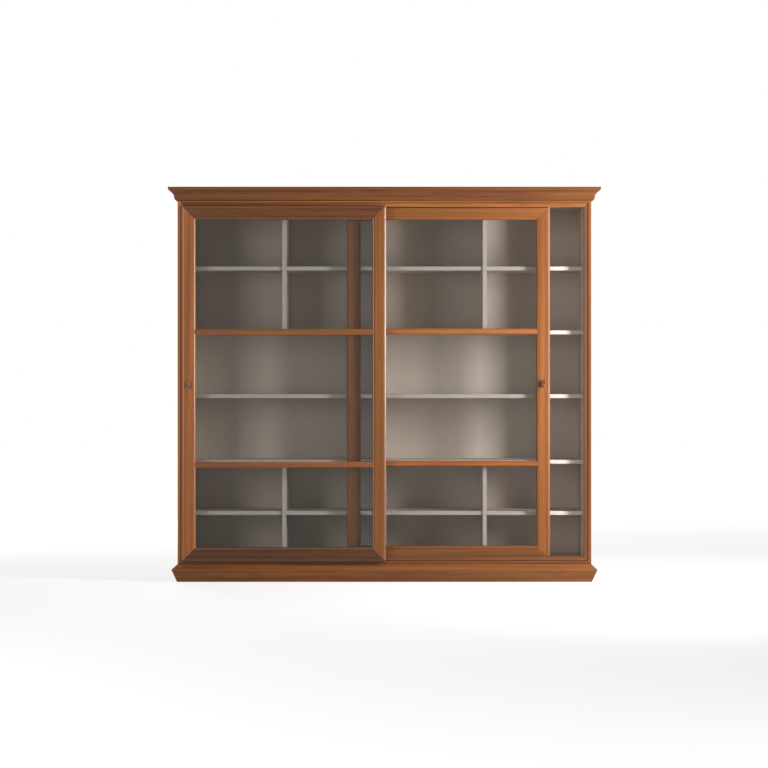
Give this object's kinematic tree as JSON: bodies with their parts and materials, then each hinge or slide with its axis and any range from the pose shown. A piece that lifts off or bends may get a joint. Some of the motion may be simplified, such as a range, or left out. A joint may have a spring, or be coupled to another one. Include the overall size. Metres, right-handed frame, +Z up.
{
  "type": "bookcase with sliding doors",
  "caption": "Wide wooden bookcase with moulded cornice and plinth, divided lacquered shelves and glazed sliding doors, one before the face frame and one behind it.",
  "frame": {"origin": "middle of the footprint, on the floor, at the middle of the overall depth from cornice edge to wall side", "axes": "+X to the right along the front as a person facing it sees it, +Y into the depth towards the wall, +Z up; the doors face -Y"},
  "size_m": [2.418, 0.5, 2.21],
  "materials": {
    "cherry_wood": "satin stained cherry",
    "interior_lacquer": "matt pale warm grey lacquer",
    "hidden_board": "plain board, unfinished",
    "door_glass": "clear float glass, slightly smoked",
    "knob_bronze": "dark burnished bronze",
    "track_aluminium": "bronze anodised",
    "fitting_steel": "zinc plated",
    "guide_nylon": "dark nylon",
    "roller_nylon": "natural nylon",
    "stop_rubber": "matt"
  },
  "bodies": {
    "case": {"plinth_front": "cherry_wood", "plinth_left": "cherry_wood", "plinth_right": "cherry_wood", "side_panel_left": "cherry_wood", "side_panel_right": "cherry_wood", "frame_stile_left": "cherry_wood", "frame_stile_right": "cherry_wood", "frame_rail_top": "cherry_wood", "frame_rail_bottom": "cherry_wood", "cornice_front": "cherry_wood", "cornice_left": "cherry_wood", "cornice_right": "cherry_wood", "lining_left": "interior_lacquer", "lining_right": "interior_lacquer", "case_floor": "interior_lacquer", "case_ceiling": "interior_lacquer", "centre_partition": "interior_lacquer", "back_panel_left": "interior_lacquer", "back_panel_right": "interior_lacquer", "lower_fixed_shelf_left": "interior_lacquer", "lower_fixed_shelf_right": "interior_lacquer", "upper_fixed_shelf_left": "interior_lacquer", "upper_fixed_shelf_right": "interior_lacquer", "upper_dividers": "interior_lacquer", "lower_dividers": "interior_lacquer", "upper_shelves_left": "interior_lacquer", "upper_shelves_right": "interior_lacquer", "middle_shelf_left": "interior_lacquer", "middle_shelf_right": "interior_lacquer", "lower_shelves_left": "interior_lacquer", "lower_shelves_right": "interior_lacquer", "plinth_inner_frame": "hidden_board", "top_board": "hidden_board", "front_track": "track_aluminium", "rear_track": "track_aluminium", "head_channel": "track_aluminium", "shelf_pins": "fitting_steel", "door_stops": "stop_rubber"},
    "front_door": {"front_door_stile_left": "cherry_wood", "front_door_stile_right": "cherry_wood", "front_door_rail_top": "cherry_wood", "front_door_rail_bottom": "cherry_wood", "front_door_glazing_bars": "cherry_wood", "front_door_glass": "door_glass", "front_door_knob": "knob_bronze", "front_door_roller_brackets": "fitting_steel", "front_door_guides": "guide_nylon"},
    "front_door_wheel_left": {"front_door_roller_left": "roller_nylon"},
    "front_door_wheel_right": {"front_door_roller_right": "roller_nylon"},
    "rear_door": {"rear_door_stile_left": "cherry_wood", "rear_door_stile_right": "cherry_wood", "rear_door_rail_top": "cherry_wood", "rear_door_rail_bottom": "cherry_wood", "rear_door_glazing_bars": "cherry_wood", "rear_door_glass": "door_glass", "rear_door_knob": "knob_bronze", "rear_door_roller_brackets": "fitting_steel", "rear_door_guides": "guide_nylon"},
    "rear_door_wheel_left": {"rear_door_roller_left": "roller_nylon"},
    "rear_door_wheel_right": {"rear_door_roller_right": "roller_nylon"}
  },
  "joints": [
    {"name": "front_door_slide", "type": "slide", "parent": "case", "child": "front_door", "axis": [1, 0, 0], "range_m": [0, 1.126]},
    {"name": "rear_door_slide", "type": "slide", "parent": "case", "child": "rear_door", "axis": [1, 0, 0], "range_m": [-0.922, 0.204]},
    {"name": "front_door_wheel_left_spin", "type": "hinge", "parent": "front_door", "child": "front_door_wheel_left", "pos_m": [-0.994, -0.181, 0.1598], "axis": [0, 1, 0], "continuous": true},
    {"name": "front_door_wheel_right_spin", "type": "hinge", "parent": "front_door", "child": "front_door_wheel_right", "pos_m": [-0.132, -0.181, 0.1598], "axis": [0, 1, 0], "continuous": true},
    {"name": "rear_door_wheel_left_spin", "type": "hinge", "parent": "rear_door", "child": "rear_door_wheel_left", "pos_m": [-0.072, -0.154, 0.1188], "axis": [0, 1, 0], "continuous": true},
    {"name": "rear_door_wheel_right_spin", "type": "hinge", "parent": "rear_door", "child": "rear_door_wheel_right", "pos_m": [0.79, -0.154, 0.1188], "axis": [0, 1, 0], "continuous": true}
  ],
  "couplings": [
    {"joint": "front_door_wheel_left_spin", "follows": "front_door_slide", "rad_per_m": 68.966},
    {"joint": "front_door_wheel_right_spin", "follows": "front_door_slide", "rad_per_m": 68.966},
    {"joint": "rear_door_wheel_left_spin", "follows": "rear_door_slide", "rad_per_m": 68.966},
    {"joint": "rear_door_wheel_right_spin", "follows": "rear_door_slide", "rad_per_m": 68.966}
  ]
}
